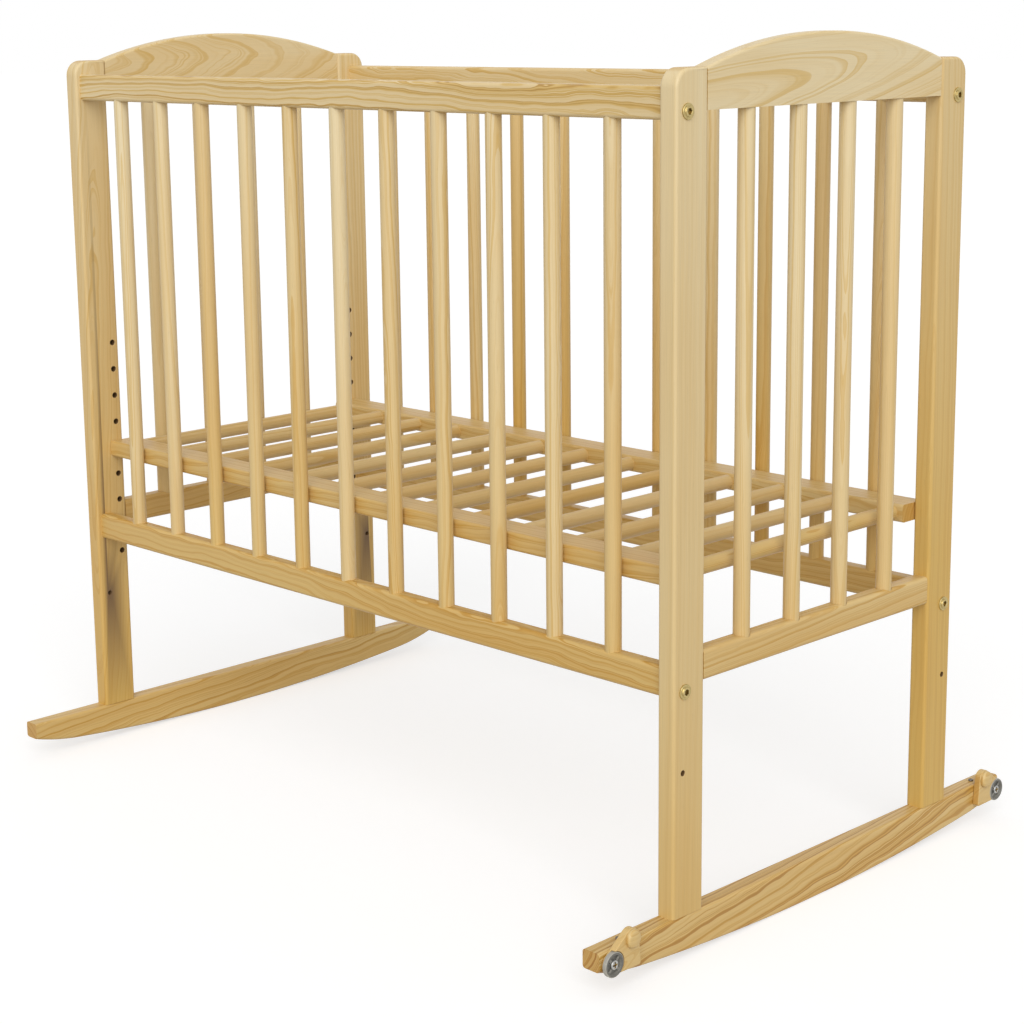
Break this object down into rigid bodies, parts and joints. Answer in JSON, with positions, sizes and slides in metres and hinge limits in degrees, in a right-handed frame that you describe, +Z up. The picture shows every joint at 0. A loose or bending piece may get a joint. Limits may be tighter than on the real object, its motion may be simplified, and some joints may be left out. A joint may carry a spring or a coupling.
{
  "type": "rocking crib",
  "caption": "Free-standing slatted pine rocking crib on two curved rockers, with arched ends, a height-adjustable lift-out slatted bed base and turn-down rocker stops.",
  "frame": {"origin": "under the middle of the overall box, on the floor", "axes": "+X along the crib towards the end whose rocker has the stops, +Y across it towards its back side, +Z up"},
  "size_m": [0.9653, 0.65, 0.861],
  "materials": {
    "pine": "satin clear-lacquered pine",
    "brass": "satin",
    "zinc_steel": "zinc plated",
    "grey_plastic": "moulded"
  },
  "bodies": {
    "crib": {"post_front_left": "pine", "rocker_screw_front_left": "zinc_steel", "base_pin_front_left": "zinc_steel", "bolt_front_left_top": "brass", "barrel_nut_front_left_top": "zinc_steel", "bolt_front_left_bottom": "brass", "barrel_nut_front_left_bottom": "zinc_steel", "post_back_left": "pine", "rocker_screw_back_left": "zinc_steel", "base_pin_back_left": "zinc_steel", "bolt_back_left_top": "brass", "barrel_nut_back_left_top": "zinc_steel", "bolt_back_left_bottom": "brass", "barrel_nut_back_left_bottom": "zinc_steel", "post_front_right": "pine", "rocker_screw_front_right": "zinc_steel", "base_pin_front_right": "zinc_steel", "bolt_front_right_top": "brass", "barrel_nut_front_right_top": "zinc_steel", "bolt_front_right_bottom": "brass", "barrel_nut_front_right_bottom": "zinc_steel", "post_back_right": "pine", "rocker_screw_back_right": "zinc_steel", "base_pin_back_right": "zinc_steel", "bolt_back_right_top": "brass", "barrel_nut_back_right_top": "zinc_steel", "bolt_back_right_bottom": "brass", "barrel_nut_back_right_bottom": "zinc_steel", "top_rail_front": "pine", "slatted_rail_front": "pine", "top_rail_back": "pine", "slatted_rail_back": "pine", "end_rail_left": "pine", "arched_board_left": "pine", "end_slat_left_1": "pine", "end_slat_left_2": "pine", "end_slat_left_3": "pine", "end_slat_left_4": "pine", "rocker_left": "pine", "end_rail_right": "pine", "arched_board_right": "pine", "end_slat_right_1": "pine", "end_slat_right_2": "pine", "end_slat_right_3": "pine", "end_slat_right_4": "pine", "rocker_right": "pine", "axle_screw_front": "zinc_steel", "top_screw_front": "zinc_steel", "axle_screw_back": "zinc_steel", "top_screw_back": "zinc_steel"},
    "bed_base": {"base_rail_front": "pine", "base_rail_back": "pine"},
    "stop_front": {"stop_block_front": "pine", "stop_knob_front": "pine"},
    "stop_back": {"stop_block_back": "pine", "stop_knob_back": "pine"},
    "roller_front_body": {"roller_front": "grey_plastic"},
    "roller_back_body": {"roller_back": "grey_plastic"}
  },
  "joints": [
    {"name": "bed_base_lift", "type": "slide", "parent": "crib", "child": "bed_base", "axis": [0, 0, 1], "range_m": [0, 0.5]},
    {"name": "stop_front_turn", "type": "hinge", "parent": "crib", "child": "stop_front", "pos_m": [0.46905, -0.312, 0.0315], "axis": [-1, 0, 0], "range_deg": [0, 45]},
    {"name": "roller_front_spin", "type": "hinge", "parent": "crib", "child": "roller_front_body", "pos_m": [0.47405, -0.312, 0.0315], "axis": [1, 0, 0], "continuous": true},
    {"name": "stop_back_turn", "type": "hinge", "parent": "crib", "child": "stop_back", "pos_m": [0.46905, 0.312, 0.0315], "axis": [1, 0, 0], "range_deg": [0, 45]},
    {"name": "roller_back_spin", "type": "hinge", "parent": "crib", "child": "roller_back_body", "pos_m": [0.47405, 0.312, 0.0315], "axis": [1, 0, 0], "continuous": true}
  ]
}
